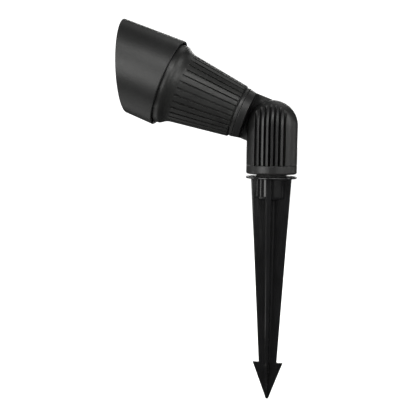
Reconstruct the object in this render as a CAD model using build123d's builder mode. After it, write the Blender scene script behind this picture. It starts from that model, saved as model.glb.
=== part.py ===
from build123d import *
import os
from math import cos, hypot, radians, sin

os.makedirs("parts", exist_ok=True)

# Garden spotlight on a ground spike, in millimetres.
# The origin is on the spike's axis at the underside of its ground flange, +Z is up,
# the lamp looks towards -Y and the knuckle's tilt axis runs along X.

# ---- driving dimensions ----------------------------------------------------
FLANGE_R = 20.1          # ground flange of the spike
FLANGE_THICK = 1.5
FLANGE_ROUND = 0.6
HUB_R = 11.3             # socket hub under the flange
HUB_LENGTH = 17.0
HUB_RIM = 3.0
SPIKE_TURN = -2.7        # the fins stand this far off the tilt axis, degrees
FIN_TOP_R = 16.1         # fins, at the flange and at the barbs
FIN_TOP_THICK = 4.4
FIN_LOW_R = 7.3
FIN_LOW_THICK = 2.6
FIN_ROOT_FILLET = 1.6
FIN_RIM_FILLET = 1.2
BARB_R = 12.3
BARB_Z = -148.7
TIP_Z = -178.4
TIP_WIDTH = 2.0
TIP_THICK = 1.3

STEM_R = 8.0             # hollow threaded stem
STEM_BORE_R = 4.5
STEM_TOP_Z = 16.0
STEM_LOW_Z = -8.5
STEM_WIRE_HOLE_R = 3.4   # wire hole from the stem up to the hinge
GASKET_R = 12.0          # between the knuckle and the flange
THREAD_PLAY = 0.05       # radial room between a thread and its hole
OUTLET_Z = -11.5         # lead outlet in the side of the hub
OUTLET_R = 2.1

COLLAR_R = 20.0          # knuckle's collar and column
COLLAR_LOW_Z = 3.5
COLLAR_TOP_Z = 10.35
COLLAR_ROUND = 1.5
SEAM_DEPTH = 0.35        # V-shaped seam between collar and column
SEAM_HALF = 0.3
COLUMN_FOOT_R = 20.0
KNUCKLE_R = 20.17
HINGE_Z = 41.6
SHOULDER = 20.8          # from the tilt axis to the flat shoulders of both halves
SPLIT_GAP = 0.4          # between the two cheeks
GROOVE_COUNT = 7         # grooves in each cheek
GROOVE_PITCH = 3.75
GROOVE_WIDTH = 2.0
GROOVE_FLOOR = 12.0      # from the split plane

LAMP_TILT = 21.3         # lamp axis above the horizontal, degrees
ARM_R = 18.85
ARM_FRONT = 26.3         # distances along the lamp axis are from the tilt axis
RING_R = 20.2
RING_FRONT = 29.0
NIPPLE_R = 7.0
NIPPLE_BORE_R = 4.6
NIPPLE_BACK = 21.5
ARM_FLARE = 1.5          # the arm starts to widen this far behind its shoulder

CONE_BACK = 29.8         # ribbed cone of the housing
CONE_BACK_R = 21.25
CONE_FRONT = 76.0
CONE_FRONT_R = 28.0
RIB_COUNT = 32
RIB_GROOVE_BACK_WIDTH = 1.0   # each groove widens towards its round front end
RIB_GROOVE_FRONT_WIDTH = 1.9
RIB_GROOVE_DEPTH = 1.4
RIB_GROOVE_FRONT = 77.5
CUP_BACK = 86.5          # smooth cup in front of the ribs
CUP_R = 32.4
BARREL_BACK = 89.6       # plain barrel that carries the hood
BARREL_FRONT = 103.8
BARREL_R = 32.3
WALL = 2.6
LEDGE = 38.0             # seat of the socket plate
LENS_SEAT = 97.0
LENS_BORE_R = 31.0

HOOD_BACK = 89.2
HOOD_BACK_R = 35.4
HOOD_DRAFT = 1.4         # degrees
HOOD_WALL = 1.8
HOOD_CUT = 127.8         # where the slanted mouth crosses the lamp axis
HOOD_CUT_SLANT = 23.0    # degrees off square
HOOD_LENGTH = 62.0       # before the slanted cut

SCREW_R = 3.0            # M6 clamp screw
SCREW_END = 9.5
SCREW_SEAT = -9.0        # floor of its counterbore
SCREW_BOSS_R = 8.2
BOSS_R = 6.8             # core that the screw passes, inside the wire pocket
POCKET_R = 11.0
POCKET_DEPTH = 6.0
NUT_FLATS = 10.0
NUT_THICK = 5.0
COUNTERBORE_R = 6.3
BOSS_OUT = 5.8           # the screw's boss stands this far out of the groove floors
WIRE_HOLE_R = 3.0        # wire hole from the nipple down to the hinge
WIRE_HOLE_GAP = 1.2      # left between a wire hole's end and the screw's core

# ---- planes and axes -------------------------------------------------------
hinge_centre = Vector(0, 0, HINGE_Z)
lamp_dir = Vector(0, -cos(radians(LAMP_TILT)), sin(radians(LAMP_TILT)))
lamp_up = Vector(0, sin(radians(LAMP_TILT)), cos(radians(LAMP_TILT)))
lamp_axis = Axis(hinge_centre, lamp_dir)
# Half-section of the head: x is the radius, y runs forwards along the lamp axis.
head_section = Plane(origin=hinge_centre, x_dir=lamp_up, z_dir=(1, 0, 0))


def head_plane(distance):
    """Plane square to the lamp axis; its x is the tilt axis and its y points up."""
    return Plane(origin=hinge_centre + lamp_dir * distance, x_dir=(1, 0, 0), z_dir=lamp_dir)


def hinge_plane(x):
    """Plane square to the tilt axis, facing +X."""
    return Plane(origin=hinge_centre + Vector(x, 0, 0), x_dir=(0, 1, 0), z_dir=(1, 0, 0))


def cone_radius(distance):
    """Outer radius of the ribbed cone at a distance along the lamp axis."""
    slope = (CONE_FRONT_R - CONE_BACK_R) / (CONE_FRONT - CONE_BACK)
    return CONE_BACK_R + slope * (distance - CONE_BACK)


def hexagon(flats):
    """Radius to the corners of a hexagon, from the distance across its flats."""
    return flats / 2 / cos(radians(30))


# ---- spike -----------------------------------------------------------------
outlet_angle = 135 + SPIKE_TURN
outlet_dir = Vector(cos(radians(outlet_angle)), sin(radians(outlet_angle)), 0)
OUTLET_FACE = 10.2       # spot face for the grommet's flange, from the spike's axis
CHAMBER_R = 5.5
CHAMBER_FLOOR_Z = -14.2
GROMMET_R = 2.9
GROMMET_FLANGE_R = 4.0


def outlet_plane(distance):
    """Plane square to the lead outlet, at a distance from the spike's axis."""
    return Plane(origin=outlet_dir * distance + Vector(0, 0, OUTLET_Z), z_dir=outlet_dir)


def is_fin_root(edge):
    """Whether an edge runs down the spike in a corner between two fins."""
    return edge.length > 100 and hypot(edge.center().X, edge.center().Y) < FIN_TOP_THICK


def is_fin_rim(edge):
    """Whether an edge runs down the spike along a fin's outer rim."""
    return edge.length > 100 and hypot(edge.center().X, edge.center().Y) > FIN_LOW_R


with BuildPart() as ground_stake:
    for turn in (SPIKE_TURN, SPIKE_TURN + 90):
        with BuildSketch(Plane.XY.rotated((0, 0, turn))):
            Rectangle(2 * FIN_TOP_R, FIN_TOP_THICK)
        with BuildSketch(Plane.XY.offset(BARB_Z).rotated((0, 0, turn))):
            Rectangle(2 * FIN_LOW_R, FIN_LOW_THICK)
        loft()
    fillet(ground_stake.edges().filter_by(is_fin_root), FIN_ROOT_FILLET)
    fillet(ground_stake.edges().filter_by(is_fin_rim), FIN_RIM_FILLET)
    # Four-edged point with a barb on each fin.
    for turn in (SPIKE_TURN, SPIKE_TURN + 90):
        with BuildSketch(Plane.XY.offset(BARB_Z).rotated((0, 0, turn))):
            RectangleRounded(2 * BARB_R, FIN_LOW_THICK, FIN_RIM_FILLET)
        with BuildSketch(Plane.XY.offset(TIP_Z).rotated((0, 0, turn))):
            RectangleRounded(TIP_WIDTH, TIP_THICK, TIP_THICK / 3)
        loft()
    # Hub with a round lower rim.
    with BuildSketch(Plane.XZ) as hub_section:
        with BuildLine():
            rim_start = (HUB_R, HUB_RIM - HUB_LENGTH)
            rim_end = (HUB_R - HUB_RIM, -HUB_LENGTH)
            Polyline((0, 0), (HUB_R, 0), rim_start)
            RadiusArc(rim_start, rim_end, HUB_RIM)
            Polyline(rim_end, (0, -HUB_LENGTH), (0, 0))
        make_face()
    revolve(axis=Axis.Z)
    # Ground flange with rounded rims.
    with BuildSketch(Plane.XZ) as flange_section:
        with Locations((0, FLANGE_THICK / 2)):
            RectangleRounded(2 * FLANGE_R, FLANGE_THICK, FLANGE_ROUND)
        split(bisect_by=Plane.YZ)
    revolve(axis=Axis.Z)
    # Socket for the stem, the wire chamber under it, and the lead outlet.
    with BuildSketch(Plane.XY.offset(FLANGE_THICK)):
        Circle(STEM_R + THREAD_PLAY)
    extrude(amount=STEM_LOW_Z - 1 - FLANGE_THICK, mode=Mode.SUBTRACT)
    with BuildSketch(Plane.XY):
        Circle(CHAMBER_R)
    extrude(amount=CHAMBER_FLOOR_Z, mode=Mode.SUBTRACT)
    with BuildSketch(outlet_plane(0)):
        Circle(GROMMET_R)
    extrude(amount=2 * HUB_R, mode=Mode.SUBTRACT)
    with BuildSketch(outlet_plane(OUTLET_FACE)):
        Circle(GROMMET_FLANGE_R + 0.1)
    extrude(amount=HUB_R, mode=Mode.SUBTRACT)
ground_stake.part.label = "ground_stake"
export_step(ground_stake.part, "parts/ground_stake.step")

with BuildPart() as cable_grommet:
    with BuildSketch(outlet_plane(CHAMBER_R + 0.5)):
        Circle(GROMMET_R)
    extrude(amount=OUTLET_FACE - CHAMBER_R - 0.5)
    with BuildSketch(outlet_plane(OUTLET_FACE)):
        Circle(GROMMET_FLANGE_R)
    extrude(amount=1.6)
    fillet(cable_grommet.edges().filter_by(GeomType.CIRCLE).sort_by(Axis((0, 0, 0), outlet_dir))[-1], 0.5)
    with BuildSketch(outlet_plane(0)):
        Circle(OUTLET_R)
    extrude(amount=2 * HUB_R, mode=Mode.SUBTRACT)
cable_grommet.part.label = "cable_grommet"
export_step(cable_grommet.part, "parts/cable_grommet.step")

# ---- knuckle ---------------------------------------------------------------
with BuildPart() as threaded_stem:
    with BuildSketch(Plane.XY.offset(STEM_LOW_Z)):
        Circle(STEM_R)
        Circle(STEM_BORE_R, mode=Mode.SUBTRACT)
    extrude(amount=STEM_TOP_Z - STEM_LOW_Z)
    chamfer(threaded_stem.edges().group_by(Axis.Z)[0], 0.6)
threaded_stem.part.label = "threaded_stem"
export_step(threaded_stem.part, "parts/threaded_stem.step")

with BuildPart() as stem_gasket:
    with BuildSketch(Plane.XY.offset(COLLAR_LOW_Z)):
        Circle(GASKET_R)
        Circle(STEM_R + 0.2, mode=Mode.SUBTRACT)
    extrude(amount=FLANGE_THICK + THREAD_PLAY - COLLAR_LOW_Z)
stem_gasket.part.label = "stem_gasket"
export_step(stem_gasket.part, "parts/stem_gasket.step")


# Both cheeks have the same row of round-floored grooves, cut down to one depth, and the
# same ring-shaped pocket round the screw's core, through which the wires cross the joint.
CUTTER_LENGTH = 20.0

with BuildPart() as knuckle_base:
    # Collar, drafted column and round top, as one turned form.
    with BuildSketch(Plane.XZ) as column_section:
        with BuildLine():
            round_start = (COLLAR_R - COLLAR_ROUND, COLLAR_LOW_Z)
            round_end = (COLLAR_R, COLLAR_LOW_Z + COLLAR_ROUND)
            Polyline((0, HINGE_Z + KNUCKLE_R), (0, COLLAR_LOW_Z), round_start)
            RadiusArc(round_start, round_end, -COLLAR_ROUND)
            Polyline(
                round_end,
                (COLLAR_R, COLLAR_TOP_Z - SEAM_HALF),
                (COLUMN_FOOT_R - SEAM_DEPTH, COLLAR_TOP_Z),
                (COLUMN_FOOT_R, COLLAR_TOP_Z + SEAM_HALF),
                (KNUCKLE_R, HINGE_Z),
            )
            CenterArc((0, HINGE_Z), KNUCKLE_R, 0, 90)
        make_face()
    revolve(axis=Axis.Z)
    # Room for the other cheek above the shoulder.
    with BuildSketch(Plane.XY.offset(HINGE_Z - SHOULDER)):
        with Locations((SPLIT_GAP / 2 - KNUCKLE_R, 0)):
            Rectangle(2 * KNUCKLE_R, 3 * KNUCKLE_R)
    extrude(amount=3 * KNUCKLE_R, mode=Mode.SUBTRACT)
    with BuildSketch(Plane.XY.offset(COLLAR_TOP_Z)):
        with Locations((GROOVE_FLOOR + CUTTER_LENGTH / 2, 0)):
            with GridLocations(0, GROOVE_PITCH, 1, GROOVE_COUNT):
                SlotOverall(CUTTER_LENGTH, GROOVE_WIDTH)
    extrude(amount=3 * KNUCKLE_R, mode=Mode.SUBTRACT)
    with BuildSketch(hinge_plane(SPLIT_GAP / 2)):
        Circle(POCKET_R)
        Circle(BOSS_R, mode=Mode.SUBTRACT)
    extrude(amount=POCKET_DEPTH, mode=Mode.SUBTRACT)
    with BuildSketch(hinge_plane(SPLIT_GAP / 2)):
        RegularPolygon(hexagon(NUT_FLATS + 0.2), 6)
    extrude(amount=SCREW_END, mode=Mode.SUBTRACT)
    with BuildSketch(Plane.XY.offset(COLLAR_LOW_Z)):
        Circle(STEM_R)
    extrude(amount=STEM_TOP_Z - COLLAR_LOW_Z, mode=Mode.SUBTRACT)
    with BuildSketch(Plane.XY.offset(STEM_TOP_Z)):
        with Locations((STEM_BORE_R - 0.3, 0)):
            Circle(STEM_WIRE_HOLE_R)
    extrude(amount=HINGE_Z - BOSS_R - WIRE_HOLE_GAP - STEM_TOP_Z, mode=Mode.SUBTRACT)
knuckle_base.part.label = "knuckle_base"
export_step(knuckle_base.part, "parts/knuckle_base.step")

with BuildPart() as hinge_nut:
    with BuildSketch(hinge_plane(SCREW_END + SPLIT_GAP / 2 - NUT_THICK)):
        RegularPolygon(hexagon(NUT_FLATS), 6)
        Circle(SCREW_R + THREAD_PLAY, mode=Mode.SUBTRACT)
    extrude(amount=NUT_THICK)
hinge_nut.part.label = "hinge_nut"
export_step(hinge_nut.part, "parts/hinge_nut.step")

# ---- swivel arm and what joins it to the housing ---------------------------
WASHER_DEPTH = 0.8
WASHER_R = 15.5

with BuildPart() as swivel_arm:
    with BuildSketch(head_section) as arm_section:
        with BuildLine():
            CenterArc((0, 0), ARM_R, -90, 90)
            Polyline((ARM_R, 0), (ARM_R, SHOULDER - ARM_FLARE))
            Spline(
                (ARM_R, SHOULDER - ARM_FLARE),
                (RING_R - 0.3, ARM_FRONT - 0.4),
                tangents=((0, 1), (0.14, 1)),
            )
            Polyline(
                (RING_R - 0.3, ARM_FRONT - 0.4),
                (RING_R - 0.7, ARM_FRONT),
                (0, ARM_FRONT),
                (0, -ARM_R),
            )
        make_face()
    revolve(axis=lamp_axis)
    # Room for the other cheek behind the shoulder.
    with BuildSketch(head_plane(-2 * ARM_R)):
        with Locations((ARM_R * 1.5 - SPLIT_GAP / 2, 0)):
            Rectangle(3 * ARM_R, 3 * ARM_R)
    extrude(amount=2 * ARM_R + SHOULDER, mode=Mode.SUBTRACT)
    with BuildSketch(head_plane(SHOULDER)):
        with Locations((-GROOVE_FLOOR - CUTTER_LENGTH / 2, 0)):
            with GridLocations(0, GROOVE_PITCH, 1, GROOVE_COUNT):
                SlotOverall(CUTTER_LENGTH, GROOVE_WIDTH)
    extrude(amount=-3 * ARM_R, mode=Mode.SUBTRACT)
    # Round boss with the screw's counterbore.
    with BuildSketch(hinge_plane(-GROOVE_FLOOR + 1)):
        Circle(SCREW_BOSS_R)
    extrude(amount=-BOSS_OUT)
    with BuildSketch(hinge_plane(SCREW_SEAT)):
        Circle(COUNTERBORE_R)
    extrude(amount=-ARM_R, mode=Mode.SUBTRACT)
    with BuildSketch(hinge_plane(-SPLIT_GAP / 2)):
        Circle(POCKET_R)
        Circle(BOSS_R, mode=Mode.SUBTRACT)
    extrude(amount=-POCKET_DEPTH, mode=Mode.SUBTRACT)
    with BuildSketch(hinge_plane(-SPLIT_GAP / 2)):
        Circle(WASHER_R + 0.1)
        Circle(POCKET_R + 0.4, mode=Mode.SUBTRACT)
    extrude(amount=-WASHER_DEPTH, mode=Mode.SUBTRACT)
    with BuildSketch(hinge_plane(0)):
        Circle(SCREW_R + 0.2)
    extrude(amount=-ARM_R, mode=Mode.SUBTRACT)
    with BuildSketch(head_plane(ARM_FRONT)):
        Circle(NIPPLE_R)
    extrude(amount=NIPPLE_BACK - ARM_FRONT, mode=Mode.SUBTRACT)
    with BuildSketch(head_plane(BOSS_R + WIRE_HOLE_GAP)):
        with Locations((0.4 - NIPPLE_BORE_R, 0)):
            Circle(WIRE_HOLE_R)
    extrude(amount=SHOULDER - BOSS_R, mode=Mode.SUBTRACT)
swivel_arm.part.label = "swivel_arm"
export_step(swivel_arm.part, "parts/swivel_arm.step")

with BuildPart() as hinge_washer:
    with BuildSketch(hinge_plane(-SPLIT_GAP / 2 - WASHER_DEPTH)):
        Circle(WASHER_R)
        Circle(POCKET_R + 0.5, mode=Mode.SUBTRACT)
    extrude(amount=WASHER_DEPTH + SPLIT_GAP - THREAD_PLAY)
hinge_washer.part.label = "hinge_washer"
export_step(hinge_washer.part, "parts/hinge_washer.step")

with BuildPart() as neck_ring:
    with BuildSketch(head_plane(ARM_FRONT)):
        Circle(RING_R)
        Circle(NIPPLE_R + 0.1, mode=Mode.SUBTRACT)
    extrude(amount=RING_FRONT - ARM_FRONT)
    outer_rims = neck_ring.edges().filter_by(GeomType.CIRCLE).filter_by(lambda edge: edge.radius > 15)
    fillet(outer_rims, 0.5)
neck_ring.part.label = "neck_ring"
export_step(neck_ring.part, "parts/neck_ring.step")

with BuildPart() as neck_gasket:
    with BuildSketch(head_plane(RING_FRONT)):
        Circle(RING_R - 1.4)
        Circle(NIPPLE_R + 0.1, mode=Mode.SUBTRACT)
    extrude(amount=CONE_BACK - RING_FRONT)
neck_gasket.part.label = "neck_gasket"
export_step(neck_gasket.part, "parts/neck_gasket.step")

REAR_WALL_FRONT = 33.0
LOCK_NUT_THICK = 2.8

with BuildPart() as arm_nipple:
    with BuildSketch(head_plane(NIPPLE_BACK)):
        Circle(NIPPLE_R)
        Circle(NIPPLE_BORE_R, mode=Mode.SUBTRACT)
    extrude(amount=REAR_WALL_FRONT + LOCK_NUT_THICK + 0.4 - NIPPLE_BACK)
arm_nipple.part.label = "arm_nipple"
export_step(arm_nipple.part, "parts/arm_nipple.step")

with BuildPart() as nipple_lock_nut:
    with BuildSketch(head_plane(REAR_WALL_FRONT)):
        RegularPolygon(hexagon(20), 6)
        Circle(NIPPLE_R, mode=Mode.SUBTRACT)
    extrude(amount=LOCK_NUT_THICK)
nipple_lock_nut.part.label = "nipple_lock_nut"
export_step(nipple_lock_nut.part, "parts/nipple_lock_nut.step")

# ---- housing ---------------------------------------------------------------
O_RING_MINOR = 0.95
O_RING_SEATS = (92.2, 95.4)
O_RING_FLOOR_R = 31.1
PLATE_SCREW_PCR = 15.0
CAVITY_R = 28.5

with BuildPart() as housing:
    with BuildSketch(head_section) as shell_section:
        with BuildLine():
            # Outside: chamfered rear rim, cone, flare, cup and barrel.
            Polyline(
                (0, CONE_BACK),
                (CONE_BACK_R - 0.7, CONE_BACK),
                (cone_radius(CONE_BACK + 0.7), CONE_BACK + 0.7),
                (CONE_FRONT_R, CONE_FRONT),
            )
            Spline(
                (CONE_FRONT_R, CONE_FRONT),
                (30.4, 82.2),
                (CUP_R, CUP_BACK),
                tangents=((0.146, 1), (0, 1)),
            )
            Polyline(
                (CUP_R, CUP_BACK),
                (CUP_R, BARREL_BACK),
                (BARREL_R, BARREL_BACK),
                (BARREL_R, BARREL_FRONT - 0.5),
                (BARREL_R - 0.5, BARREL_FRONT),
                (LENS_BORE_R, BARREL_FRONT),
                (LENS_BORE_R, LENS_SEAT),
                (CAVITY_R, LENS_SEAT),
                (CAVITY_R, CUP_BACK + 1),
                (cone_radius(CONE_FRONT) - RIB_GROOVE_DEPTH - WALL, CONE_FRONT),
                (cone_radius(LEDGE) - RIB_GROOVE_DEPTH - WALL, LEDGE),
                (12.3, LEDGE),
                (12.3, REAR_WALL_FRONT),
                (0, REAR_WALL_FRONT),
                (0, CONE_BACK),
            )
        make_face()
    revolve(axis=lamp_axis)
    # O-ring grooves of the barrel.
    with BuildSketch(head_section):
        for seat in O_RING_SEATS:
            with Locations((O_RING_FLOOR_R + 2, seat)):
                Rectangle(4, 2 * O_RING_MINOR + 0.2)
    revolve(axis=lamp_axis, mode=Mode.SUBTRACT)
    with BuildSketch(head_plane(CONE_BACK)):
        Circle(NIPPLE_R)
    extrude(amount=WALL + 1, mode=Mode.SUBTRACT)
    with BuildSketch(head_plane(LEDGE)):
        with PolarLocations(PLATE_SCREW_PCR, 3, start_angle=90):
            Circle(1.25)
    extrude(amount=-4.5, mode=Mode.SUBTRACT)

# One rib groove, drawn on the lamp axis along Z: its floor follows the cone and curves
# out at the front, and it widens to a round front end. The housing gets a ring of them.
with BuildPart() as rib_groove:
    groove_back = CONE_BACK - 2
    fade = RIB_GROOVE_FRONT - 4
    floor_back = (cone_radius(groove_back) - RIB_GROOVE_DEPTH, groove_back)
    floor_fade = (cone_radius(fade) - RIB_GROOVE_DEPTH, fade)
    floor_front = (cone_radius(RIB_GROOVE_FRONT) + 0.3, RIB_GROOVE_FRONT)
    clear_r = CONE_FRONT_R + 3
    with BuildSketch(Plane.XZ) as groove_side:
        with BuildLine():
            Line(floor_back, floor_fade)
            Spline(floor_fade, floor_front, tangents=((0.146, 1), (0.8, 1)))
            Polyline(floor_front, (clear_r, RIB_GROOVE_FRONT), (clear_r, groove_back), floor_back)
        make_face()
    extrude(amount=RIB_GROOVE_FRONT_WIDTH, both=True)
    with BuildSketch(Plane.YZ) as groove_outline:
        with BuildLine():
            half_back = RIB_GROOVE_BACK_WIDTH / 2
            half_front = RIB_GROOVE_FRONT_WIDTH / 2
            Polyline(
                (-half_front, RIB_GROOVE_FRONT - half_front),
                (-half_back, groove_back),
                (half_back, groove_back),
                (half_front, RIB_GROOVE_FRONT - half_front),
            )
            CenterArc((0, RIB_GROOVE_FRONT - half_front), half_front, 0, 180)
        make_face()
    extrude(amount=clear_r, mode=Mode.INTERSECT)

with BuildPart() as ribbed_housing:
    add(housing.part)
    with Locations(head_plane(0)):
        with PolarLocations(0, RIB_COUNT, start_angle=90):
            add(rib_groove.part, mode=Mode.SUBTRACT)
ribbed_housing.part.label = "housing"
export_step(ribbed_housing.part, "parts/housing.step")

with BuildPart() as barrel_o_rings:
    with BuildSketch(head_section):
        for seat in O_RING_SEATS:
            with Locations((O_RING_FLOOR_R + O_RING_MINOR, seat)):
                Circle(O_RING_MINOR)
    revolve(axis=lamp_axis)
barrel_o_rings.part.label = "barrel_o_rings"
export_step(barrel_o_rings.part, "parts/barrel_o_rings.step")

# ---- lamp and its socket ---------------------------------------------------
PLATE_THICK = 1.2
SOCKET_FRONT = 50.5
PIN_SPACING = 5.33
PIN_R = 0.8
PIN_START = 44.5
LEAD_SPACING = 4.4
LEAD_R = 0.95
BULB_BASE_BACK = 51.5
BULB_BACK = 60.0
BOARD_BACK = 86.5
BOARD_THICK = 1.5
OPTIC_BACK = 91.0
BULB_FRONT = 94.5

with BuildPart() as socket_bracket:
    with BuildSketch(head_plane(LEDGE)):
        Circle(18.2)
        SlotOverall(9, 5, mode=Mode.SUBTRACT)
        with PolarLocations(PLATE_SCREW_PCR, 3, start_angle=90):
            Circle(1.6, mode=Mode.SUBTRACT)
    extrude(amount=PLATE_THICK)
socket_bracket.part.label = "socket_bracket"
export_step(socket_bracket.part, "parts/socket_bracket.step")

with BuildPart() as bracket_screws:
    with BuildSketch(head_plane(LEDGE - 4.2)):
        with PolarLocations(PLATE_SCREW_PCR, 3, start_angle=90):
            Circle(1.2)
    extrude(amount=4.2 + PLATE_THICK)
    with BuildSketch(head_plane(LEDGE + PLATE_THICK)):
        with PolarLocations(PLATE_SCREW_PCR, 3, start_angle=90):
            Circle(2.7)
    extrude(amount=1.8)
    fillet(bracket_screws.edges().filter_by(GeomType.CIRCLE).group_by(lamp_axis)[-1], 0.8)
    with BuildSketch(head_plane(LEDGE + PLATE_THICK + 0.9)):
        with PolarLocations(PLATE_SCREW_PCR, 3, start_angle=90):
            Rectangle(3, 0.7)
            Rectangle(0.7, 3)
    extrude(amount=2, mode=Mode.SUBTRACT)
bracket_screws.part.label = "bracket_screws"
export_step(bracket_screws.part, "parts/bracket_screws.step")

with BuildPart() as lamp_socket:
    with BuildSketch(head_plane(LEDGE + PLATE_THICK)):
        RectangleRounded(19, 12.5, 2)
    extrude(amount=SOCKET_FRONT - LEDGE - PLATE_THICK)
    with BuildSketch(head_plane(SOCKET_FRONT)):
        with GridLocations(PIN_SPACING, 0, 2, 1):
            Circle(PIN_R + 0.1)
    extrude(amount=PIN_START - SOCKET_FRONT - 0.2, mode=Mode.SUBTRACT)
    with BuildSketch(head_plane(LEDGE + PLATE_THICK)):
        with GridLocations(LEAD_SPACING, 0, 2, 1):
            Circle(LEAD_R)
    extrude(amount=3.5, mode=Mode.SUBTRACT)
lamp_socket.part.label = "lamp_socket"
export_step(lamp_socket.part, "parts/lamp_socket.step")

with BuildPart() as socket_leads:
    with BuildSketch(head_plane(24)):
        with GridLocations(LEAD_SPACING, 0, 2, 1):
            Circle(LEAD_R)
    extrude(amount=LEDGE + PLATE_THICK + 3.5 - 24)
socket_leads.part.label = "socket_leads"
export_step(socket_leads.part, "parts/socket_leads.step")

with BuildPart() as lamp_pins:
    with BuildSketch(head_plane(PIN_START)):
        with GridLocations(PIN_SPACING, 0, 2, 1):
            Circle(PIN_R)
    extrude(amount=BULB_BASE_BACK + 3 - PIN_START)
lamp_pins.part.label = "lamp_pins"
export_step(lamp_pins.part, "parts/lamp_pins.step")

with BuildPart() as lamp_base:
    with BuildSketch(head_plane(BULB_BASE_BACK)):
        RectangleRounded(15, 8, 2)
    extrude(amount=BULB_BACK - BULB_BASE_BACK)
    with BuildSketch(head_plane(BULB_BASE_BACK)):
        with GridLocations(PIN_SPACING, 0, 2, 1):
            Circle(PIN_R)
    extrude(amount=3, mode=Mode.SUBTRACT)
lamp_base.part.label = "lamp_base"
export_step(lamp_base.part, "parts/lamp_base.step")

with BuildPart() as lamp_body:
    with BuildSketch(head_section) as cup_section:
        with BuildLine():
            Polyline((0, BOARD_BACK), (0, BULB_BACK), (9, BULB_BACK), (11, BULB_BACK + 6))
            Spline(
                (11, BULB_BACK + 6),
                (22.6, BOARD_BACK),
                tangents=((0.3, 1), (0.35, 1)),
            )
            Polyline(
                (22.6, BOARD_BACK),
                (24.9, BOARD_BACK + 2),
                (24.9, BULB_FRONT),
                (23.6, BULB_FRONT),
                (23.6, BOARD_BACK + 2),
                (20.5, BOARD_BACK),
                (0, BOARD_BACK),
            )
        make_face()
    revolve(axis=lamp_axis)
    # Cooling slots round the waist.
    with BuildSketch(head_plane(BULB_BACK + 8)):
        with PolarLocations(21, 16):
            Rectangle(16, 1.6)
    extrude(amount=14, mode=Mode.SUBTRACT)
lamp_body.part.label = "lamp_body"
export_step(lamp_body.part, "parts/lamp_body.step")

with BuildPart() as led_board:
    with BuildSketch(head_plane(BOARD_BACK)):
        Circle(20)
    extrude(amount=BOARD_THICK)
led_board.part.label = "led_board"
export_step(led_board.part, "parts/led_board.step")

EMITTER_PCR = 11.0
with BuildPart() as led_chips:
    with BuildSketch(head_plane(BOARD_BACK + BOARD_THICK)):
        with PolarLocations(EMITTER_PCR, 3, start_angle=90):
            RectangleRounded(3.5, 3.5, 0.4)
    extrude(amount=0.7)
led_chips.part.label = "led_chips"
export_step(led_chips.part, "parts/led_chips.step")

with BuildPart() as lamp_optic:
    with BuildSketch(head_plane(OPTIC_BACK)):
        Circle(23.4)
    extrude(amount=BULB_FRONT - OPTIC_BACK - 0.6)
    # A collimator stands on the plate's back over each emitter.
    with BuildSketch(head_plane(OPTIC_BACK)):
        with PolarLocations(EMITTER_PCR, 3, start_angle=90):
            Circle(8.4)
    extrude(amount=-2.0, taper=45)
    # Each collimator's front is a shallow dished lens.
    with BuildSketch(head_plane(BULB_FRONT - 0.6)):
        with PolarLocations(EMITTER_PCR, 3, start_angle=90):
            Circle(8.0)
            Circle(7.2, mode=Mode.SUBTRACT)
    extrude(amount=-0.8, mode=Mode.SUBTRACT)
lamp_optic.part.label = "lamp_optic"
export_step(lamp_optic.part, "parts/lamp_optic.step")

# ---- front glass -----------------------------------------------------------
GASKET_THICK = 1.0
GLASS_THICK = 3.0
GLASS_R = 30.7
RETAINER_R = 30.95
RETAINER_BORE_R = 27.8

with BuildPart() as lens_gasket:
    with BuildSketch(head_plane(LENS_SEAT)):
        Circle(GLASS_R)
        Circle(CAVITY_R + 0.2, mode=Mode.SUBTRACT)
    extrude(amount=GASKET_THICK)
lens_gasket.part.label = "lens_gasket"
export_step(lens_gasket.part, "parts/lens_gasket.step")

glass_back = LENS_SEAT + GASKET_THICK
with BuildPart() as front_lens:
    with BuildSketch(head_plane(glass_back)):
        Circle(GLASS_R)
    extrude(amount=GLASS_THICK)
    chamfer(front_lens.edges().filter_by(GeomType.CIRCLE), 0.3)
front_lens.part.label = "front_lens"
export_step(front_lens.part, "parts/front_lens.step")

with BuildPart() as lens_ring:
    with BuildSketch(head_plane(glass_back + GLASS_THICK)):
        Circle(RETAINER_R)
        Circle(RETAINER_BORE_R, mode=Mode.SUBTRACT)
    extrude(amount=2.3)
    front_rims = lens_ring.edges().filter_by(GeomType.CIRCLE).group_by(lamp_axis)[-1]
    chamfer(front_rims.sort_by(SortBy.RADIUS)[0], 1.2)
    # Two notches for a pin spanner.
    with BuildSketch(head_plane(glass_back + GLASS_THICK + 1)):
        with PolarLocations(RETAINER_R, 2):
            Rectangle(3.2, 2.4)
    extrude(amount=3, mode=Mode.SUBTRACT)
lens_ring.part.label = "lens_ring"
export_step(lens_ring.part, "parts/lens_ring.step")

# ---- hood ------------------------------------------------------------------
HOOD_STOP = BARREL_FRONT + 0.3
HOOD_STOP_R = 31.4
hood_shrink = HOOD_LENGTH * sin(radians(HOOD_DRAFT))
mouth_normal = lamp_dir * cos(radians(HOOD_CUT_SLANT)) - lamp_up * sin(radians(HOOD_CUT_SLANT))
mouth_plane = Plane(
    origin=hinge_centre + lamp_dir * HOOD_CUT,
    x_dir=(1, 0, 0),
    z_dir=mouth_normal,
)


def hood_bore(distance):
    """Inner radius of the hood at a distance along the lamp axis."""
    return HOOD_BACK_R - HOOD_WALL - (distance - HOOD_BACK) * hood_shrink / HOOD_LENGTH


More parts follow.
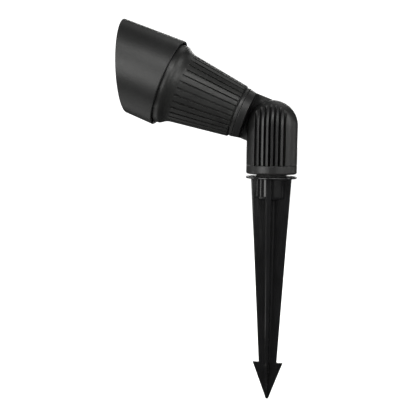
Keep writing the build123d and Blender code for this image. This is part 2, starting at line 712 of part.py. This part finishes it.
with BuildPart() as hood:
    hood_front = HOOD_BACK + HOOD_LENGTH
    with BuildSketch(head_section) as hood_section:
        with BuildLine():
            Polyline(
                (hood_bore(HOOD_BACK), HOOD_BACK),
                (HOOD_BACK_R, HOOD_BACK),
                (HOOD_BACK_R - hood_shrink, hood_front),
                (hood_bore(hood_front), hood_front),
                (hood_bore(HOOD_STOP + 2), HOOD_STOP + 2),
                (HOOD_STOP_R, HOOD_STOP + 1.4),
                (HOOD_STOP_R, HOOD_STOP),
                (hood_bore(HOOD_STOP), HOOD_STOP),
                close=True,
            )
        make_face()
    revolve(axis=lamp_axis)
    rear_rims = hood.edges().filter_by(GeomType.CIRCLE).group_by(lamp_axis)[0]
    fillet(rear_rims, 0.8)
    split(bisect_by=mouth_plane, keep=Keep.BOTTOM)
    mouth_rims = hood.edges().filter_by_position(Axis(mouth_plane.origin, mouth_normal), -0.01, 0.01)
    fillet(mouth_rims, 0.55)
hood.part.label = "hood"
export_step(hood.part, "parts/hood.step")

# ---- clamp screw -----------------------------------------------------------
SCREW_WASHER_THICK = 1.4
SPRING_WASHER_THICK = 1.6
SCREW_HEAD_R = 5.0
SCREW_HEAD_HEIGHT = 6.0
screw_head_seat = SCREW_SEAT - SCREW_WASHER_THICK - SPRING_WASHER_THICK

with BuildPart() as clamp_screw:
    with BuildSketch(hinge_plane(screw_head_seat)):
        Circle(SCREW_R)
    extrude(amount=SCREW_END - screw_head_seat)
    with BuildSketch(hinge_plane(screw_head_seat)):
        Circle(SCREW_HEAD_R)
    extrude(amount=-SCREW_HEAD_HEIGHT)
    fillet(clamp_screw.edges().filter_by(GeomType.CIRCLE).sort_by(Axis.X)[0], 0.6)
    with BuildSketch(hinge_plane(screw_head_seat - SCREW_HEAD_HEIGHT)):
        RegularPolygon(hexagon(5), 6)
    extrude(amount=3.2, mode=Mode.SUBTRACT)
clamp_screw.part.label = "clamp_screw"
export_step(clamp_screw.part, "parts/clamp_screw.step")

with BuildPart() as clamp_washer:
    with BuildSketch(hinge_plane(SCREW_SEAT)):
        Circle(6.0)
        Circle(SCREW_R + 0.2, mode=Mode.SUBTRACT)
    extrude(amount=-SCREW_WASHER_THICK)
clamp_washer.part.label = "clamp_washer"
export_step(clamp_washer.part, "parts/clamp_washer.step")

with BuildPart() as spring_washer:
    with BuildSketch(hinge_plane(SCREW_SEAT - SCREW_WASHER_THICK)):
        Circle(5.2)
        Circle(SCREW_R + 0.2, mode=Mode.SUBTRACT)
        with Locations((0, 4.5)):
            Rectangle(1.0, 4, mode=Mode.SUBTRACT)
    extrude(amount=-SPRING_WASHER_THICK)
spring_washer.part.label = "spring_washer"
export_step(spring_washer.part, "parts/spring_washer.step")
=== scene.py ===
import math

import bpy
from mathutils import Matrix, Vector


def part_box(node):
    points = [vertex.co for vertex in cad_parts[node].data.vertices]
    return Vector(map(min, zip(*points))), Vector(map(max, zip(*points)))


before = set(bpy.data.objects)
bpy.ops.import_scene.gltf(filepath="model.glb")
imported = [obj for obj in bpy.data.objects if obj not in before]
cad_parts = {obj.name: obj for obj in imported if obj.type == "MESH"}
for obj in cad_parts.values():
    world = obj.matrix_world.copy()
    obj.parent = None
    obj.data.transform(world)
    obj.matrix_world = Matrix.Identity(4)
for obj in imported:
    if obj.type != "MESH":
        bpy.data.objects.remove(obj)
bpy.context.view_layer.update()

# Everything is in metres, in the CAD's frame: +Z up, the lamp looks towards -Y.
MM = 0.001


# ---- camera ----------------------------------------------------------------
CAMERA_TARGET = Vector((0, -0.05047, -0.02521))
CAMERA_DISTANCE = 0.8004
CAMERA_AZIMUTH = math.radians(9.16)      # from +X towards +Y
CAMERA_ELEVATION = math.radians(5.47)
CAMERA_ROLL = math.radians(0.83)
CAMERA_LENS = 86.26


def make_camera():
    """Camera at the photograph's angle, looking along -X at the lamp's side."""
    flat = math.cos(CAMERA_ELEVATION)
    back = Vector((
        flat * math.cos(CAMERA_AZIMUTH),
        flat * math.sin(CAMERA_AZIMUTH),
        math.sin(CAMERA_ELEVATION),
    ))
    data = bpy.data.cameras.new("camera")
    data.lens = CAMERA_LENS
    data.sensor_width = 36
    data.clip_start = 0.01
    data.clip_end = 50
    camera = bpy.data.objects.new("camera", data)
    bpy.context.scene.collection.objects.link(camera)
    camera.rotation_mode = "QUATERNION"
    facing = (-back).to_track_quat("-Z", "Y").to_matrix()
    camera.rotation_quaternion = (facing @ Matrix.Rotation(CAMERA_ROLL, 3, "Z")).to_quaternion()
    camera.location = CAMERA_TARGET + back * CAMERA_DISTANCE
    bpy.context.scene.camera = camera


make_camera()


# ---- materials -------------------------------------------------------------
COAT_EDGE = 0.5 * MM             # how far paint and moulding round a sharp edge off
MOULDED_EDGE = 0.3 * MM
WORN_LIGHTER = 3.2               # a rubbed edge, against the coat's lighter colour


class Nodes:
    """A new material's node tree, with short ways to add and join its nodes."""

    def __init__(self, name):
        self.material = bpy.data.materials.new(name)
        self.material.use_nodes = True
        self.tree = self.material.node_tree
        self.shader = self.tree.nodes["Principled BSDF"]
        coordinates = self.tree.nodes.new("ShaderNodeTexCoord")
        self.place = coordinates.outputs["Object"]

    def join(self, source, target):
        self.tree.links.new(source, target)

    def set(self, **values):
        for name, value in values.items():
            self.shader.inputs[name.replace("_", " ")].default_value = value

    def noise(self, scale, detail=4.0, roughness=0.55, stretch=None):
        """Noise with features of about 1 / scale metres."""
        node = self.tree.nodes.new("ShaderNodeTexNoise")
        node.inputs["Scale"].default_value = scale
        node.inputs["Detail"].default_value = detail
        node.inputs["Roughness"].default_value = roughness
        source = self.place
        if stretch:
            mapping = self.tree.nodes.new("ShaderNodeMapping")
            mapping.inputs["Scale"].default_value = stretch
            self.join(self.place, mapping.inputs["Vector"])
            source = mapping.outputs["Vector"]
        self.join(source, node.inputs["Vector"])
        return node.outputs["Fac"]

    def spread(self, value, low, high, to_low, to_high):
        """Map a value's range on to another, held at both ends."""
        node = self.tree.nodes.new("ShaderNodeMapRange")
        for name, number in (("From Min", low), ("From Max", high), ("To Min", to_low), ("To Max", to_high)):
            node.inputs[name].default_value = number
        self.join(value, node.inputs["Value"])
        return node.outputs["Result"]

    def blend(self, share, first, second):
        """Mix two colours; either may be a fixed colour or another node's output."""
        node = self.tree.nodes.new("ShaderNodeMix")
        node.data_type = "RGBA"
        self.join(share, node.inputs["Factor"])
        for name, colour in (("A", first), ("B", second)):
            socket = next(s for s in node.inputs if s.name == name and s.type == "RGBA")
            if isinstance(colour, tuple):
                socket.default_value = (*colour, 1)
            else:
                self.join(colour, socket)
        return next(s for s in node.outputs if s.type == "RGBA")

    def edges(self, low, high):
        """Where the surface is convex, as at a worn edge."""
        geometry = self.tree.nodes.new("ShaderNodeNewGeometry")
        return self.spread(geometry.outputs["Pointiness"], low, high, 0, 1)

    def times(self, first, second):
        node = self.tree.nodes.new("ShaderNodeMath")
        node.operation = "MULTIPLY"
        self.join(first, node.inputs[0])
        self.join(second, node.inputs[1])
        return node.outputs["Value"]

    def soft_edges(self, radius):
        """Normals that round every sharp edge off, as paint and moulding do."""
        node = self.tree.nodes.new("ShaderNodeBevel")
        node.samples = 6
        node.inputs["Radius"].default_value = radius
        return node.outputs["Normal"]

    def bump(self, height, strength, distance, under=None):
        node = self.tree.nodes.new("ShaderNodeBump")
        node.inputs["Strength"].default_value = strength
        node.inputs["Distance"].default_value = distance
        self.join(height, node.inputs["Height"])
        if under:
            self.join(under, node.inputs["Normal"])
        return node.outputs["Normal"]

    def finish(self, colour=None, roughness=None, normal=None):
        if colour:
            self.join(colour, self.shader.inputs["Base Color"])
        if roughness:
            self.join(roughness, self.shader.inputs["Roughness"])
        if normal:
            self.join(normal, self.shader.inputs["Normal"])
        return self.material


def powder_coat(name, dark, light, smooth, rough):
    """Baked powder coat: fine orange-peel grain, soft edges that are rubbed a little lighter."""
    n = Nodes(name)
    n.set(Metallic=0.0, IOR=1.5)
    cloud = n.noise(45, 3)
    grain = n.noise(1500, 4, 0.65)
    colour = n.blend(n.spread(cloud, 0.35, 0.65, 0, 1), dark, light)
    worn = n.times(n.edges(0.53, 0.62), n.spread(n.noise(260, 5), 0.45, 0.65, 0, 0.6))
    colour = n.blend(worn, colour, tuple(WORN_LIGHTER * c for c in light))
    roughness = n.spread(grain, 0.3, 0.7, smooth, rough)
    peel = n.bump(n.noise(850, 3), 0.6, 0.06 * MM, n.soft_edges(COAT_EDGE))
    return n.finish(colour, roughness, n.bump(grain, 0.5, 0.07 * MM, peel))


def moulded_plastic(name):
    """Glossy black moulded nylon with faint sink marks and handling scuffs."""
    n = Nodes(name)
    n.set(IOR=1.5)
    cloud = n.noise(60, 3)
    scuffs = n.noise(300, 6, 0.65, stretch=(1, 1, 0.12))
    colour = n.blend(n.spread(cloud, 0.3, 0.7, 0, 1), (0.0025, 0.0025, 0.0027), (0.004, 0.004, 0.0044))
    worn = n.times(n.edges(0.54, 0.64), n.spread(scuffs, 0.45, 0.7, 0, 0.5))
    colour = n.blend(worn, colour, (0.06, 0.06, 0.06))
    roughness = n.spread(scuffs, 0.35, 0.7, 0.12, 0.22)
    sinks = n.bump(n.noise(70, 2, 0.4), 0.25, 0.4 * MM, n.soft_edges(MOULDED_EDGE))
    return n.finish(colour, roughness, n.bump(n.noise(900, 3), 0.12, 0.03 * MM, sinks))


def rubber(name):
    """Matt black rubber with a fine grain."""
    n = Nodes(name)
    n.set(IOR=1.45)
    colour = n.blend(n.spread(n.noise(120, 4), 0.3, 0.7, 0, 1), (0.008, 0.008, 0.008), (0.02, 0.02, 0.019))
    roughness = n.spread(n.noise(600, 4), 0.3, 0.7, 0.55, 0.8)
    return n.finish(colour, roughness, n.bump(n.noise(1500, 4), 0.3, 0.05 * MM))


def bare_metal(name, dark, light, smooth, rough, stretch):
    """Machined metal: fine lines one way, and small stains."""
    n = Nodes(name)
    n.set(Metallic=1.0)
    lines = n.noise(2600, 4, 0.6, stretch=stretch)
    colour = n.blend(n.spread(n.noise(160, 5), 0.35, 0.65, 0, 1), dark, light)
    roughness = n.spread(lines, 0.3, 0.7, smooth, rough)
    return n.finish(colour, roughness, n.bump(lines, 0.25, 0.03 * MM))


def plain_plastic(name, dark, light, smooth=0.4, rough=0.6):
    """Moulded plastic of one colour, slightly mottled."""
    n = Nodes(name)
    n.set(IOR=1.48)
    colour = n.blend(n.spread(n.noise(150, 4), 0.3, 0.7, 0, 1), dark, light)
    roughness = n.spread(n.noise(700, 4), 0.3, 0.7, smooth, rough)
    return n.finish(colour, roughness, n.bump(n.noise(1400, 3), 0.15, 0.04 * MM))


def clear(name, tint, smooth, rough, ripple):
    """Clear glass or optic plastic, with a faint film of dust."""
    n = Nodes(name)
    n.set(IOR=1.5, Transmission_Weight=1.0)
    film = n.noise(240, 6, 0.6)
    colour = n.blend(n.spread(film, 0.4, 0.75, 0, 1), tint, tuple(0.94 * c for c in tint))
    roughness = n.spread(film, 0.4, 0.75, smooth, rough)
    return n.finish(colour, roughness, n.bump(n.noise(ripple, 2), 0.04, 0.2 * MM))


def paint(node, material):
    """Give a CAD node its material."""
    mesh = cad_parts[node].data
    mesh.materials.clear()
    mesh.materials.append(material)


knuckle_coat = powder_coat("knuckle_coat", (0.0042, 0.0042, 0.0042), (0.0062, 0.0062, 0.0062), 0.34, 0.46)
housing_coat = powder_coat("housing_coat", (0.0043, 0.0044, 0.0042), (0.0062, 0.0064, 0.006), 0.35, 0.47)
hood_coat = powder_coat("hood_coat", (0.0043, 0.0044, 0.0044), (0.0062, 0.0063, 0.0063), 0.37, 0.49)
spike_plastic = moulded_plastic("spike_plastic")
seal_rubber = rubber("seal_rubber")
steel = bare_metal("steel", (0.42, 0.42, 0.41), (0.62, 0.62, 0.6), 0.22, 0.42, (0.15, 1, 1))
brass = bare_metal("brass", (0.5, 0.36, 0.14), (0.72, 0.55, 0.26), 0.2, 0.4, (1, 1, 0.15))
nickel = bare_metal("nickel", (0.6, 0.6, 0.58), (0.8, 0.8, 0.78), 0.12, 0.25, (1, 0.2, 1))
lamp_aluminium = bare_metal("lamp_aluminium", (0.5, 0.5, 0.51), (0.7, 0.7, 0.71), 0.25, 0.4, (1, 0.2, 1))
nylon = plain_plastic("nylon", (0.012, 0.012, 0.012), (0.02, 0.02, 0.02))
socket_white = plain_plastic("socket_white", (0.62, 0.6, 0.54), (0.74, 0.72, 0.66), 0.3, 0.5)
lead_white = plain_plastic("lead_white", (0.68, 0.67, 0.63), (0.78, 0.77, 0.73))
board_white = plain_plastic("board_white", (0.74, 0.75, 0.74), (0.82, 0.83, 0.82), 0.3, 0.45)
chip_yellow = plain_plastic("chip_yellow", (0.75, 0.55, 0.08), (0.9, 0.7, 0.15), 0.2, 0.35)
front_glass = clear("front_glass", (0.97, 0.99, 0.98), 0.015, 0.06, 20)
optic_clear = clear("optic_clear", (0.98, 0.985, 0.99), 0.03, 0.1, 90)

FINISHES = {
    "ground_stake": spike_plastic,
    "cable_grommet": seal_rubber,
    "knuckle_base": knuckle_coat,
    "threaded_stem": brass,
    "stem_gasket": seal_rubber,
    "hinge_nut": steel,
    "swivel_arm": knuckle_coat,
    "hinge_washer": nylon,
    "neck_ring": knuckle_coat,
    "neck_gasket": seal_rubber,
    "arm_nipple": brass,
    "nipple_lock_nut": brass,
    "housing": housing_coat,
    "barrel_o_rings": seal_rubber,
    "socket_bracket": steel,
    "bracket_screws": steel,
    "lamp_socket": socket_white,
    "socket_leads": lead_white,
    "lamp_pins": nickel,
    "lamp_base": socket_white,
    "lamp_body": lamp_aluminium,
    "led_board": board_white,
    "led_chips": chip_yellow,
    "lamp_optic": optic_clear,
    "lens_gasket": seal_rubber,
    "front_lens": front_glass,
    "lens_ring": hood_coat,
    "clamp_washer": steel,
    "spring_washer": steel,
    "hood": hood_coat,
    "clamp_screw": steel,
}
for node, finish in FINISHES.items():
    paint(node, finish)


# ---- floor and light -------------------------------------------------------
LIGHT_COLOUR = (1, 1, 0.98)      # a trace warmer than the white surroundings
LIGHT_DISTANCE = 1.2
SURROUNDINGS = 1.3               # strength of the white studio
MIRRORED_SURROUNDINGS = 0.05     # and of what a gloss mirrors of it
FLOOR_REACH = 6.0
CARD_AHEAD = 0.2                 # centre of the bounce card, in front of the hood's lip
CARD_LIFT = 0.002
floor_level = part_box("ground_stake")[0].z


def make_floor():
    """Pale floor at the spike's tip."""
    mesh = bpy.data.meshes.new("floor")
    sides = ((-1, -1), (1, -1), (1, 1), (-1, 1))
    corners = [(FLOOR_REACH * x, FLOOR_REACH * y, floor_level) for x, y in sides]
    mesh.from_pydata(corners, [], [(0, 1, 2, 3)])
    mesh.materials.append(plain_plastic("floor_white", (0.9, 0.9, 0.9), (0.93, 0.93, 0.93), 0.7, 0.8))
    floor = bpy.data.objects.new("floor", mesh)
    bpy.context.scene.collection.objects.link(floor)
    floor.visible_glossy = False


def make_world():
    """White studio, dimmer where a gloss would mirror it, as black flags round the object do."""
    world = bpy.data.worlds.new("world")
    bpy.context.scene.world = world
    world.use_nodes = True
    tree = world.node_tree
    background = tree.nodes["Background"]
    background.inputs["Color"].default_value = (1, 1, 1, 1)
    path = tree.nodes.new("ShaderNodeLightPath")
    strength = tree.nodes.new("ShaderNodeMapRange")
    strength.inputs["To Min"].default_value = SURROUNDINGS
    strength.inputs["To Max"].default_value = MIRRORED_SURROUNDINGS
    tree.links.new(path.outputs["Is Glossy Ray"], strength.inputs["Value"])
    tree.links.new(strength.outputs["Result"], background.inputs["Strength"])


def area_light(name, width, height, radiance):
    """Rectangular light as bright as a surface of that radiance, hidden from the camera."""
    data = bpy.data.lights.new(name, "AREA")
    data.shape = "RECTANGLE"
    data.size = width
    data.size_y = height
    data.energy = radiance * math.pi * width * height
    data.color = LIGHT_COLOUR
    light = bpy.data.objects.new(name, data)
    bpy.context.scene.collection.objects.link(light)
    light.rotation_mode = "QUATERNION"
    light.visible_camera = False
    return light


def softbox(name, azimuth, elevation, width, height, radiance, distance=LIGHT_DISTANCE):
    """Area light that faces the object; azimuth 0 is the camera's side, positive to its right."""
    a = CAMERA_AZIMUTH + math.radians(azimuth)
    e = math.radians(elevation)
    back = Vector((math.cos(e) * math.cos(a), math.cos(e) * math.sin(a), math.sin(e)))
    light = area_light(name, width, height, radiance)
    light.location = CAMERA_TARGET + back * distance
    light.rotation_quaternion = (-back).to_track_quat("-Z", "Y")


def make_bounce_card():
    """White card on the floor under the lamp, which lights the underside of the head."""
    card = area_light("bounce_card", width=0.35, height=0.3, radiance=0.8)
    card.location = (0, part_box("hood")[0].y - CARD_AHEAD, floor_level + CARD_LIFT)
    card.rotation_quaternion = Vector((0, 0, 1)).to_track_quat("-Z", "Y")


make_floor()
make_world()
softbox("key", azimuth=-42, elevation=14, width=0.82, height=0.92, radiance=4.7)
softbox("top_right", azimuth=42, elevation=17, width=0.55, height=0.55, radiance=4.2)
softbox("top_front", azimuth=5, elevation=46, width=0.5, height=0.4, radiance=8.0)
softbox("left_strip", azimuth=-97, elevation=10, width=0.2, height=1.0, radiance=2.5)
softbox("right_strip", azimuth=80, elevation=20, width=0.14, height=0.85, radiance=8.0)
softbox("rear_strip", azimuth=112, elevation=3, width=0.2, height=0.3, radiance=2.0)
softbox("right_fill", azimuth=46, elevation=10, width=1.5, height=1.4, radiance=0.2, distance=1.5)
softbox("far_left", azimuth=-138, elevation=30, width=0.8, height=0.7, radiance=2.6)
softbox("far_right", azimuth=150, elevation=54, width=0.6, height=0.5, radiance=0.8)
softbox("backdrop", azimuth=173, elevation=19, width=0.6, height=0.35, radiance=4.5)
make_bounce_card()
bpy.context.scene.view_settings.view_transform = "Standard"
bpy.context.scene.view_settings.look = "None"
